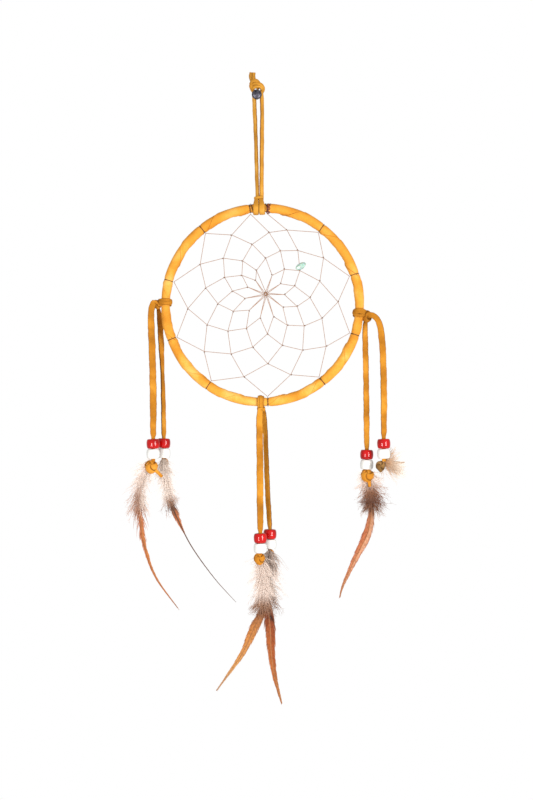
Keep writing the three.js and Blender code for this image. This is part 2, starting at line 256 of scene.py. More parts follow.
def soft_piece(name, shape, material, body=None, slot="lace_suede", label="edge"):
    """A piece of leather or thread made from a shape, which is points, faces and one value for each
    point. The value marks cut edges on leather, with painted shade as well at the wrap's laps and
    ties, and wax on thread."""
    points, faces, values = shape
    return new_piece(name, points, faces, material, body, slot, {label: values})


def outwards(points, faces):
    """The faces of a closed shape, turned over if its volume comes out negative."""
    corners = np.asarray(points).reshape(-1, 3)[faces]
    first, second, third = corners[:, 0], corners[:, 1], corners[:, 2]
    volume = np.einsum("ij,ij->", first, np.cross(second, third))
    if faces.shape[1] == 4:
        volume += np.einsum("ij,ij->", first, np.cross(third, corners[:, 3]))
    return faces if volume > 0 else faces[:, ::-1]


def round_hoop(angle, out, front=0.0):
    """Points at an angle clockwise from the hoop's top, some way out from the hoop's centre
    line and in front of it."""
    reach = hoop_radius + out
    x = hoop_centre[0] + reach * np.sin(angle)
    z = hoop_centre[1] + reach * np.cos(angle)
    return np.stack(np.broadcast_arrays(x, -front, z), -1)


def nearness(angle, marks, spread):
    """How near an angle lies to any of some marks round the hoop, as a bell in millimetres."""
    apart = (angle[..., None] - marks + np.pi) % (2 * np.pi) - np.pi
    return np.exp(-((apart * hoop_radius / spread) ** 2)).max(-1)


def hoop_wrap():
    """The wrap's surface: each row of the grid runs round the rod along the slanting lap, so the
    lap is a clean step between two rows. Its radius is the rod's, plus the lap's step that dies
    away over the turn, plus slow waves, plus folds on the inside, less a pinch at each tie. The
    hitch and the lashings press all of that flat."""
    share = np.arange(wrap_rows) / wrap_rows * wrap_turns
    turn, part = np.floor(share), share % 1
    part = part - 0.86 * np.sin(2 * np.pi * part) / (2 * np.pi)
    around = np.arange(wrap_columns) / wrap_columns * 2 * np.pi
    angle = ((turn + part)[:, None] - around[None, :] / (2 * np.pi)) * 2 * np.pi / wrap_turns
    length = angle * hoop_radius
    lap = np.clip(part / 0.012, 0, 1)[:, None] * np.exp(-4.5 * part)[:, None]
    inside = np.clip(-np.cos(around), 0, 1)[None, :] ** 1.5
    fold = np.clip(ripple(length, 0.32, 3), -0.6, 1)
    pinch = nearness(angle, tie_angles, 1.1)
    pressed = np.clip(1.6 * nearness(angle, band_angles, 6.5), 0, 1)
    raised = lap_step * lap + inside * (0.3 * fold + 0.16 * lap)
    raised += 0.1 * ripple(length, 0.09, 5) + 0.03 * ripple(length + 2.5 * np.cos(around), 0.6, 6)
    radius = wrap_radius - 0.1 + raised * (1 - pressed) - band_press * pressed - tie_pinch * pinch
    points = round_hoop(angle, radius * np.cos(around), radius * np.sin(around))
    shown = np.random.default_rng(8).uniform(0.6, 1, wrap_turns)[turn.astype(int)]
    # The value for the colour: the lap line is darkened as the strip's cut edge together with
    # painted shade at the foot of its step, and each tie's pinch is darkened as painted shade.
    lap_edge_and_shade = np.exp(-((part / 0.02) ** 2)) + np.exp(-(((1 - part) / 0.012) ** 2))
    lap_edge_and_shade = np.clip(lap_edge_and_shade * shown, 0, 1)[:, None] + 0 * angle
    faces = grid_faces(wrap_rows, wrap_columns, shift=wrap_rows // wrap_turns, joined=True)
    return points, outwards(points, faces), np.clip(lap_edge_and_shade + 0.45 * pinch, 0, 1)


def suede(name, pale, full, deep, cut_edge_and_shade=None, painted_shade_heights=None):
    """Suede: mottled in three tones, with a short nap. The attribute "edge" darkens a cut side,
    where the raw leather shows. On the wrap it also darkens the lap line, which is the strip's cut
    edge with painted shade at the foot of its step, and it puts painted shade in the pinches at the
    ties. It may be given painted shade above some height, darker towards the top."""
    material = finish(name, 0.82, Specular_IOR_Level=0.25)
    shader = material.node_tree.nodes["Principled BSDF"]
    shader.inputs["Sheen Weight"].default_value = 0.12
    shader.inputs["Sheen Roughness"].default_value = 0.5
    shader.inputs["Sheen Tint"].default_value = colour(pale)
    where = on_object(material)
    broad = cloud(material, where, 0.012, detail=4)
    nap = cloud(material, where, 0.0007, detail=5, roughness=0.65)
    tone = ramp(material, broad, (0.3, deep), (0.5, full), (0.68, pale))
    speckle = ramp(material, nap, (0.3, 0.72), (0.55, 1.0))
    tone = mixed(material, 0.55, tone, speckle, "MULTIPLY")
    # Painted shade: the colour goes over to the deep tone from the lower height up to the upper
    # one, so it is darker towards the top.
    if painted_shade_heights:
        height = add_node(material, "SeparateXYZ", {0: where}).outputs[2]
        limits = {0: height, 1: painted_shade_heights[0], 2: painted_shade_heights[1]}
        height = add_node(material, "MapRange", limits).outputs[0]
        tone = mixed(material, height, tone, colour(deep))
    edge = add_node(material, "Attribute", attribute_name="edge").outputs["Fac"]
    share = ramp(material, edge, (0.35, 0.0), (0.95, 1.0))
    # The colour of raw cut sides, and on the wrap of painted shade at the lap's foot and at the
    # ties as well.
    raw_edge_and_shade = ramp(material, nap, (0.35, cut_edge_and_shade or deep), (0.7, deep))
    drive(material, "Base Color", mixed(material, share, tone, raw_edge_and_shade))
    drive(material, "Roughness", ramp(material, nap, (0.3, 0.92), (0.7, 0.74)))
    bumped(material, nap, 0.00012, 0.6)
    return material


# The wrap gets painted shade on its upper part, darker towards the top.
wrap_suede = suede(
    "golden_wrap_suede", "f8bd60", "eda33a", "d68a26", "7c4a12", painted_shade_heights=(-0.16, 0.06)
)
wrapping = soft_piece("hoop_wrapping", hoop_wrap(), wrap_suede, "hoop", "wrap_suede")
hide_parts("hoop_wrap")


# ---- Web ----
# One waxed sinew: tied round the wrapped hoop at eleven places, then hitched on the middle of
# each span in turn, round after round, and drawn into a small ring. Each hitch is pulled until
# it balances, and each round pulls about half as hard as the one outside it.
sinew_radius = 0.22
web_rounds = 5
centre_ring = 1.5
web_centre = (hoop_centre[0] + 2, hoop_centre[1] + 7.2)
ties = len(tie_angles)
hitches = web_rounds * ties + ties - 3


def web_places():
    """Where the sinew is tied and hitched, as (x, z). The hitches start evenly spread and are
    moved to the weighted middle of what pulls on them, until the net is at rest."""
    count = np.arange(hitches + ties)
    turned = 2 * np.pi * (count - hitches) / ties
    reach = centre_ring + np.clip(1 - count / hitches, 0, 1) * hoop_radius
    places = np.stack([np.sin(turned), np.cos(turned)], -1) * reach[:, None] + web_centre
    places[:ties] = round_hoop(tie_angles, -wrap_radius - 0.35)[:, [0, 2]]
    start = np.repeat(np.arange(hitches), 2)
    start[1::2] += 1
    end = np.repeat(np.arange(hitches) + ties, 2)
    inwards = (end - ties) / ties
    strength = 0.55 ** (inwards * (1 - 0.05 * inwards))
    for _ in range(400):
        pull = strength / (np.linalg.norm(places[start] - places[end], axis=1) + 0.3) ** 0.75
        total = np.zeros((len(places), 3))
        for one, other in ((start, end), (end, start)):
            np.add.at(total, one, np.column_stack([places[other], pull * 0 + 1]) * pull[:, None])
        places[ties:hitches] = total[ties:hitches, :2] / total[ties:hitches, 2:]
    return places


def across_of(lines, facing):
    """Unit tangents of lines, and unit vectors square to them and as near as can be to a facing."""
    along = np.gradient(lines, axis=-2)
    along = along / np.linalg.norm(along, axis=-1, keepdims=True)
    facing = facing - along * np.sum(along * facing, -1, keepdims=True)
    facing = facing / np.linalg.norm(facing, axis=-1, keepdims=True)
    return along, facing


def tubes(lines, radius, facing, sides=6):
    """Round tubes along several lines of equal counts of points: a circle of a radius is carried
    along each, and its end rings are closed by flat caps."""
    lines = np.asarray(lines, float)
    many, steps, _ = lines.shape
    along, face = across_of(lines, np.asarray(facing, float))
    aside = np.cross(along, face)
    turn = np.arange(sides) / sides * 2 * np.pi
    radius = np.broadcast_to(np.asarray(radius, float), (many, steps)).copy()
    ring = np.cos(turn)[:, None] * face[..., None, :] + np.sin(turn)[:, None] * aside[..., None, :]
    points = lines[..., None, :] + radius[..., None, None] * ring
    one = grid_faces(steps, sides)
    faces = (one + (np.arange(many) * steps * sides)[:, None, None]).reshape(-1, 4)
    ends = np.arange(many)[:, None] * steps * sides
    caps = [ends + np.arange(sides)[::-1], ends + (steps - 1) * sides + np.arange(sides)]
    if (outwards(points[0], one) != one).any():
        faces, caps = faces[:, ::-1], [cap[:, ::-1] for cap in caps]
    return points.reshape(-1, 3), faces.tolist() + [list(c) for cap in caps for c in cap]


def gathered(*shapes):
    """Several shapes' points, faces and values put together as one."""
    points, faces, values, first = [], [], [], 0
    for some, rims, value in shapes:
        points.append(some)
        faces += [[corner + first for corner in rim] for rim in rims]
        values.append(np.broadcast_to(value, len(some)))
        first += len(some)
    return np.concatenate(points), faces, np.concatenate(values)


def web_shapes():
    """The web's runs, hitches, ties and centre ring. A run is a straight tube, a hitch is a
    small ring on it, and a tie is one turn of a slanting helix that lies in the pinched wrap."""
    spots = web_places()
    place = np.column_stack([spots[:, 0], 0 * spots[:, 0], spots[:, 1]])
    order = np.stack([np.arange(hitches), np.arange(hitches) + ties], -1).ravel()
    order = np.append(order, hitches)
    share = np.linspace(0, 1, 7)[:, None]
    runs = place[order[:-1], None] * (1 - share) + place[order[1:], None] * share
    wander = 0.05 * np.sin(np.arange(len(runs))[:, None] * 2.4 + share[:, 0] * 9)
    runs[..., 1] += wander * np.sin(np.pi * share[:, 0])
    run = tubes(runs, sinew_radius * 0.92, (0, 1, 0.02))

    knots = place[ties:hitches]
    legs = place[: hitches - ties] - knots
    legs = legs / np.linalg.norm(legs, axis=1, keepdims=True)
    turn = np.linspace(0, 2 * np.pi, 13)[None, :, None]
    square = np.cross(legs, (0, 1, 0))
    loops = knots[:, None] + 0.34 * (
        np.cos(turn) * square[:, None] + np.sin(turn) * np.array([0, 1, 0])
    )
    loops += legs[:, None] * (0.3 + 0.35 * turn / 6.3)
    loop = tubes(loops, sinew_radius * 0.85, legs[:, None] + 0 * loops, 5)

    def tied(angle, slants, widths):
        """Turns of sinew round the hoop: each runs from one slant to the other side."""
        angle, slants = np.asarray(angle)[:, None], np.asarray(slants)[:, None]
        turn = np.linspace(-np.pi, np.pi, 33)[None, :]
        radius = wrap_radius - 0.5 + sinew_radius * np.asarray(widths)[:, None] + 0 * turn
        at = angle + (slants * np.sin(turn / 2) ** 2 - 0.3 * slants) / hoop_radius
        points = round_hoop(at, radius * np.cos(turn), radius * np.sin(turn))
        middle = round_hoop(at, 0 * turn)
        return tubes(points, sinew_radius * 1.15, points - middle, 6)

    square_ties = tied(tie_angles, 0.25 * np.sin(np.arange(ties) * 2.1), np.ones(ties))
    doubled = np.radians([2.3, 3.9, 353.6])
    slants = [2.0, -2.4, 1.3]
    slant_ties = tied(doubled, slants, 1.6 + 0.2 * np.arange(3) % 0.6)

    turn = np.linspace(0, 2 * np.pi * 2, 61)[None, :]
    reach = 0.62 * centre_ring + 0.22 * np.sin(turn * 0.5 + 1)
    ring = np.stack(
        [
            web_centre[0] + reach * np.sin(turn),
            0.28 * np.sin(turn * 5.5),
            web_centre[1] + reach * np.cos(turn),
        ],
        -1,
    )
    eye = tubes(ring, sinew_radius * 2.2, (0, 1, 0.01), 6)

    turn = np.linspace(0, 2 * np.pi, 15)[None, :]
    tangle = []
    turns = ((1.9, 2.9, 0.5, 0.8), (-0.4, 3.4, 1.4, 0.9), (-2.9, 2.0, 2.5, 0.8))
    for out, front, lean, size in turns:
        core = round_hoop(np.radians(3.6), out, front)
        tip = np.stack([np.cos(turn), 0.5 * np.sin(turn + lean), np.sin(turn)], -1)
        tangle.append((*tubes(core + size * tip, sinew_radius * 1.3, tip, 5), 1.6))
    return gathered(
        (*run, 0.0), (*loop, 0.75), (*square_ties, 1.0), (*slant_ties, 1.15), (*eye, 0.45), *tangle
    )


sinew = finish("waxed_sinew", 0.48, Sheen_Weight=0.1)
strands = cloud(sinew, on_object(sinew), 0.0005, detail=4)
waxed = add_node(sinew, "Attribute", attribute_name="waxed").outputs["Fac"]
light_run = ramp(sinew, strands, (0.3, "8c6044"), (0.7, "b88c6c"))
dark_turn = ramp(sinew, strands, (0.3, "3a1e08"), (0.7, "5e3410"))
red_turn = ramp(sinew, strands, (0.3, "5a120d"), (0.7, "8c3020"))
tone = mixed(sinew, ramp(sinew, waxed, (0.2, 0.0), (0.9, 1.0)), light_run, dark_turn)
over = add_node(sinew, "Math", {0: waxed, 1: 1.4}, operation="GREATER_THAN").outputs[0]
drive(sinew, "Base Color", mixed(sinew, over, tone, red_turn))
bumped(sinew, strands, 0.00006)
web = soft_piece("web_sinew", web_shapes(), sinew, "hoop", "sinew", "waxed")
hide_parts("web")


# ---- Turquoise chip ----
# A tumbled chip of pale turquoise, drilled and threaded on the sinew. It is waxy, a little
# clear at its thin edges, with faint veins of its brown mother rock.
chip_low, chip_high = (np.array(corner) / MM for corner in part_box("turquoise_chip"))


def chip_shape():
    """A ball stretched to the chip's box, flattened on worn facets: each direction's radius is
    cut back where it passes a few slanting planes."""
    rise = np.linspace(0, np.pi, 41)[:, None]
    turn = np.linspace(0, 2 * np.pi, 64, endpoint=False)[None, :]
    flat = np.sin(rise)
    ball = np.stack(np.broadcast_arrays(flat * np.cos(turn), flat * np.sin(turn), np.cos(rise)), -1)
    facets = np.random.default_rng(21).normal(size=(9, 3))
    facets /= np.linalg.norm(facets, axis=1, keepdims=True)
    reach = np.linalg.norm(ball, axis=-1)
    for facet in facets:
        slope = np.clip(ball @ facet, 0.05, None)
        reach = np.minimum(reach, 0.86 / slope)
    half = (chip_high - chip_low) / 2 * np.array([1.0, 0.95, 1.0])
    points = (chip_low + chip_high) / 2 + ball * reach[..., None] * half * 1.04
    points[..., 2] += 0.35 * points[..., 0] - 0.35 * (chip_low + chip_high)[0] / 2
    faces = outwards(points, grid_faces(41, 64))
    return points, faces


turquoise = finish("pale_turquoise", 0.22, Subsurface_Weight=0.35, Subsurface_Scale=0.002)
stone = on_object(turquoise)
milky = ramp(turquoise, cloud(turquoise, stone, 0.003), (0.3, "93b5a8"), (0.7, "b3cdc2"))
cells = {"Vector": stone, "Scale": 420}
vein = add_node(turquoise, "TexVoronoi", cells, feature="DISTANCE_TO_EDGE").outputs["Distance"]
line = ramp(turquoise, vein, (0.0, 0.55), (0.045, 0.0))
drive(turquoise, "Base Color", mixed(turquoise, line, milky, colour("7f9a86")))
bumped(turquoise, cloud(turquoise, stone, 0.0015), 0.00015)
chip = new_piece("chip_stone", *chip_shape(), turquoise, body="hoop", slot="turquoise")
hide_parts("turquoise_chip")


# ---- Hitch of the hanging lace ----
# The doubled lace is folded over the hoop and its ends are drawn through the fold, a lark's
# head: two bands side by side round the hoop, with the fold drawn across them on top.
hitch_angle = math.radians(-2.15)
hitch_at = round_hoop(hitch_angle, 0)


def lace_along(line, facing, width, thickness, seed, soft=0.3, closed=False):
    """A flat lace along a line: a rounded oblong, wide across the way it faces. Its width wavers
    a little, as hand-cut lace does. The value is 1 on the cut sides and 0 on the faces."""
    line = np.asarray(line, float)
    steps, sides = len(line), 20
    if closed:
        wrapped = np.concatenate([line[-2:], line, line[:2]])
        along = np.gradient(wrapped, axis=0)[2:-2]
    else:
        along = np.gradient(line, axis=0)
    along = along / np.linalg.norm(along, axis=1, keepdims=True)
    facing = np.broadcast_to(np.asarray(facing, float), line.shape)
    facing = facing - along * np.sum(along * facing, 1, keepdims=True)
    facing = facing / np.linalg.norm(facing, axis=1, keepdims=True)
    aside = np.cross(along, facing)
    turn = np.arange(sides) / sides * 2 * np.pi
    power = 2 * soft
    flat = np.sign(np.cos(turn)) * np.abs(np.cos(turn)) ** power
    deep = np.sign(np.sin(turn)) * np.abs(np.sin(turn)) ** power
    run = np.concatenate([[0], np.cumsum(np.linalg.norm(np.diff(line, axis=0), axis=1))])
    waver = 0.0 if closed else 1.0
    width = np.broadcast_to(width, steps) / 2 + waver * 0.09 * ripple(run, 0.8, seed)
    thickness = np.broadcast_to(thickness, steps) / 2
    bow = waver * 0.12 * ripple(run, 0.35, seed + 50)
    points = (
        line[:, None]
        + (flat * width[:, None] + bow[:, None])[..., None] * aside[:, None]
        + (deep * thickness[:, None])[..., None] * facing[:, None]
    )
    faces = grid_faces(steps, sides, joined=closed)
    turned = outwards(points, faces)
    rims = turned.tolist()
    if not closed:
        caps = [list(range(sides)), list(range((steps - 1) * sides, steps * sides))[::-1]]
        rims += caps if (turned == faces).all() else [cap[::-1] for cap in caps]
    edge = np.abs(flat)[None, :] ** 6 + 0 * width[:, None]
    return points.reshape(-1, 3), rims, edge.ravel()


lace_suede = suede("golden_lace_suede", "e3a84a", "cd8f2e", "b2761f", "704812")


def hitch_shapes():
    """Two bands, each a drop-shaped loop in the plane across the rod, and an oval ring for the
    fold that holds them together above it."""
    turn = np.linspace(0, 2 * np.pi, 72, endpoint=False)
    drawn = np.clip(np.cos(turn), 0, 1) ** 3
    high = 3.95 * np.cos(turn) + 2.7 * drawn
    front = 3.95 * np.sin(turn) * (1 - 0.62 * drawn)
    along = np.array([math.cos(hitch_angle), 0, -math.sin(hitch_angle)])
    upright = np.array([math.sin(hitch_angle), 0, math.cos(hitch_angle)])
    shapes = []
    for side, width, seed in ((-1.95, 3.5, 31), (1.9, 3.6, 32)):
        slide = side * (1.04 - 0.42 * drawn) + 0.12 * np.sin(turn * 2 + seed)
        line = hitch_at + slide[:, None] * along + high[:, None] * upright
        line[:, 1] -= front
        facing = line - (hitch_at + slide[:, None] * along)
        widths = width * (1.05 - 0.4 * drawn)
        shapes.append(lace_along(line, facing, widths, 1.25, seed, closed=True))
    turn = np.linspace(0, 2 * np.pi, 64, endpoint=False)
    wide = np.sign(np.cos(turn)) * np.abs(np.cos(turn)) ** 0.8
    fold = hitch_at + (2.75 * wide[:, None] + 0.15) * along
    fold = fold + (6.7 + 0.25 * np.sin(turn + 0.6))[:, None] * upright
    fold[:, 1] -= 2.1 * np.sin(turn)
    facing = fold - hitch_at - 6.7 * upright
    shapes.append(lace_along(fold, facing, 1.7, 0.9, 33, soft=0.42, closed=True))
    return shapes


hitch = soft_piece("hitch_lace", gathered(*hitch_shapes()), lace_suede, "hitch")
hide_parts("hanger_hitch")


# ---- Loop knot ----
# The two ends of the hanging lace, tied together in an overhand knot that sits on the nail,
# with its two cut tails leaning up to the left.
def knot_line(size, squash, lean, count=96):
    """A closed line that goes twice round a ring and three times through it, the shape of an
    overhand knot drawn tight, with its size, its depth against its width and its lean. The ring
    is tipped over a little, and narrower one way, as no real knot is even."""
    turn = np.linspace(0, 2 * np.pi, count, endpoint=False)
    reach = 1.65 + 0.95 * np.cos(3 * turn)
    flat = np.stack([reach * np.cos(2 * turn + lean), reach * np.sin(2 * turn + lean)], -1)
    deep = squash * 1.5 * np.sin(3 * turn)
    tip = 0.5 + 0.3 * math.sin(5 * lean)
    high = math.cos(tip) * flat[:, 1] - math.sin(tip) * deep
    deep = math.sin(tip) * flat[:, 1] * 0.6 + math.cos(tip) * deep
    return np.column_stack([0.88 * flat[:, 0], deep, 1.08 * high]) * size / 3


def knot_shape(centre, size, squash, lean, width, thickness, seed):
    """A lace carried along the knot's line, facing out from the knot's middle."""
    line = knot_line(size, squash, lean)
    facing = line * np.array([1, 1.6, 1])
    return lace_along(line + centre, facing, width, thickness, seed, soft=0.4, closed=True)


def smooth_line(points, count):
    """A smooth line through some points: on each stretch, a cubic whose slopes at the points
    come from their neighbours, sampled at an even count of places along its length."""
    points = np.asarray(points, float)
    padded = np.concatenate([2 * points[:1] - points[1:2], points, 2 * points[-1:] - points[-2:-1]])
    share = np.linspace(0, 1, 24, endpoint=False)[None, :, None]
    a, b, c, d = (padded[i : len(padded) - 3 + i, None] for i in range(4))
    fine = b + 0.5 * share * (
        c - a + share * (2 * a - 5 * b + 4 * c - d + share * (3 * (b - c) + d - a))
    )
    fine = np.concatenate([fine.reshape(-1, points.shape[1]), points[-1:]])
    run = np.concatenate([[0], np.cumsum(np.linalg.norm(np.diff(fine, axis=0), axis=1))])
    even = np.linspace(0, run[-1], count)
    return np.stack([np.interp(even, run, axis) for axis in fine.T], -1)


loop_laces = [
    (
        [
            (2.1, 0, -0.6), (3.2, -0.7, 1.4), (2.6, -1.7, 3.6), (0.2, -2.2, 4.9),
            (-2.6, -1.7, 5.0), (-4.4, -0.4, 4.2),
        ],
        (0.4, -1, 0.5),
        2.8,
    ),
    (
        [(-2.7, 0, -0.6), (-3.9, -0.6, 1.6), (-4.6, -0.8, 3.6), (-4.2, 0.3, 5.6)],
        (-0.5, -1, 0.1),
        2.5,
    ),
    (
        [(-4.9, -0.2, 4.6), (-3.6, -1.9, 6.5), (-1.2, -2.0, 6.9), (0.6, -0.6, 5.6)],
        (-0.2, -1, 0.5),
        2.5,
    ),
    (
        [(-1.0, 0.9, 2.0), (0.9, 1.0, 4.0), (-0.6, 0.9, 6.4), (-3.4, 1.0, 6.6), (-4.5, 1.0, 4.2)],
        (0.3, 1, 0.2),
        2.7,
    ),
    (
        [(-3.9, -0.9, 1.6), (-1.6, -2.0, 2.9), (1.4, -2.0, 3.1), (3.1, -0.9, 1.2)],
        (0, -1, 0.5),
        2.8,
    ),
    (
        [(-1.9, -0.6, 5.6), (-2.7, -1.3, 8.1), (-2.9, -0.7, 10.3), (-2.8, -0.9, 12.4)],
        (0.7, -1, 0.1),
        2.5,
    ),
    (
        [(-3.6, 0.3, 5.6), (-4.3, -0.3, 8.2), (-4.9, 0.2, 10.3), (-4.4, 0.0, 12.6)],
        (-0.6, -1, 0),
        2.6,
    ),
]
loop_shapes = [
    lace_along(smooth_line(way, 26), facing, width, 1.6, 41 + turn, soft=0.4)
    for turn, (way, facing, width) in enumerate(loop_laces)
]
loop_shapes[-2:] = [(some, rims, np.maximum(edge, 0.62)) for some, rims, edge in loop_shapes[-2:]]
loop_knot = soft_piece("loop_knot_lace", gathered(*loop_shapes), lace_suede, "hanger")
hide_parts("loop_knot")


# ---- Hanging laces ----
# Two runs of the same suede lace, drawn straight by the weight of the hoop. Each is turned a
# little on its edge, so that its darker cut side shows beside its face.
hanger_width = 3.0
hanger_routes = {
    "left": [(-0.3, -71.6), (-0.8, -55), (-1.5, -30), (-2.3, -10), (-2.7, -0.3)],
    "right": [(2.3, -71.6), (2.4, -55), (2.6, -30), (2.7, -10), (2.1, -0.3)],
}
hanger_turns = {"left": (-58, -46), "right": (36, 50)}
for side, route in hanger_routes.items():
    route_line = smooth_line([(x, 0, z) for x, z in route], 64)
    aim = np.radians(np.linspace(*hanger_turns[side], 64))
    aim += 0.12 * ripple(route_line[:, 2], 0.12, 7)
    facing = np.stack([np.sin(aim), -np.cos(aim), 0 * aim], -1)
    lace = lace_along(route_line, facing, hanger_width, 1.7, 46 + len(side))
    hanging = soft_piece(f"hanging_lace_{side}", lace, lace_suede)
    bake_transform(hanging)
    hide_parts(f"hanger_lace_{side}")


# ---- Lashings of the thongs ----
# Each pair of thongs is one folded lace, bound once round the hoop and drawn through itself into
# a small hard knot on the hoop's outer side, from which its two ends hang.
lashings = {
    "left": dict(angle=271.6, width=4.4, knot=(-1.6, 5.2), size=2.9, lean=0.3, skew=0.5),
    "right": dict(angle=95, width=4.3, knot=(1.5, 5), size=3.5, lean=1.0, skew=-1.4),
    "bottom": dict(angle=181.2, width=4.1, knot=(-0.5, 4.7), size=2.7, lean=0.1, skew=0.3),
}
pendant_suede = suede("golden_thong_suede", "d6922c", "be7918", "9f620e", "5a3806")
knot_suede = suede("golden_knot_suede", "e09a38", "cd8422", "ae6c14", "65400a")
brown_suede = suede("brown_knot_suede", "a8804e", "8a6434", "6b4a24", "3d2812")


def beside_hoop(angle, along, out):
    """The point that lies some way along the hoop, clockwise, and out from its centre line."""
    angle = math.radians(angle)
    way = np.array([math.cos(angle), 0, -math.sin(angle)])
    return round_hoop(angle, out) + along * way


def lashing_shapes(angle, width, knot, size, lean, skew, seed):
    """A closed band round the hoop's section, its front leaning one way and its back the other,
    a second, narrower turn that crosses it, and the knot's own closed line."""
    turn = np.linspace(0, 2 * np.pi, 60, endpoint=False)
    at = math.radians(angle)
    reach = 3.7 + 0.8 * np.clip(np.cos(turn), 0, 1) ** 6
    leant = at + (skew * np.sin(turn) - 0.2) / hoop_radius
    band = round_hoop(leant, reach * np.cos(turn), reach * np.sin(turn))
    middle = round_hoop(at, 0 * turn)
    shapes = [lace_along(band, band - middle, width, 1.0, seed, soft=0.28, closed=True)]
    reach = reach + 0.45
    over = -1.6 * skew * np.sin(turn) + 0.5 * skew
    cross = round_hoop(at + over / hoop_radius, reach * np.cos(turn), reach * np.sin(turn))
    turned = lace_along(cross, cross - middle, 0.5 * width, 0.7, seed + 1, soft=0.3, closed=True)
    shapes.append(turned)
    centre = beside_hoop(angle, *knot)
    shapes.append(knot_shape(centre, size, 0.72, lean, 0.95 * size, 0.55 * size, seed + 2))
    return shapes


for side_name, facts in lashings.items():
    shape = gathered(*lashing_shapes(**facts, seed=60 + 5 * len(side_name)))
    lashing = soft_piece(f"{side_name}_lashing_lace", shape, pendant_suede, "hoop")
    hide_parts(f"{side_name}_lashing")


# ---- Beads ----
# Moulded glass pony beads, one red and one white on each thong: short barrels with rounded
# rims and a straight bore, held by the lace, which fills the bore.
bead_radius = 4.35
bead_height = 6.3
bead_bore = 1.9


def bead_shape():
    """A rounded oblong, turned round the bead's axis; its outer side bulges a little."""
    turn = np.linspace(0, 2 * np.pi, 36, endpoint=False)
    flat = np.sign(np.cos(turn)) * np.abs(np.cos(turn)) ** 0.78
    high = np.sign(np.sin(turn)) * np.abs(np.sin(turn)) ** 0.82
    reach = (bead_radius + bead_bore) / 2 + flat * (bead_radius - bead_bore) / 2
    reach = reach - 0.12 * (flat > 0) * high**2 * flat
    around = np.linspace(0, 2 * np.pi, 72, endpoint=False)[:, None]
    x, y, z = reach * np.cos(around), reach * np.sin(around), high * bead_height / 2
    points = np.stack(np.broadcast_arrays(x, y, z), -1)
    return points, outwards(points, grid_faces(72, 36, joined=True))


def glass(name, body_colour, streak_colour):
    """Opaque glass: a glossy coat over a colour with faint swirls."""
    material = finish(name, 0.3, Coat_Weight=0.7, Coat_Roughness=0.06, Specular_IOR_Level=0.15)
    swirl = cloud(material, on_object(material), 0.006, detail=5)
    drive(material, "Base Color", ramp(material, swirl, (0.35, streak_colour), (0.65, body_colour)))
    bumped(material, cloud(material, on_object(material), 0.0035, detail=1), 0.00006)
    return material


red_glass = glass("red_glass", "cd0a08", "a00303")
white_glass = glass("white_glass", "f3f2ee", "e4e2dc")


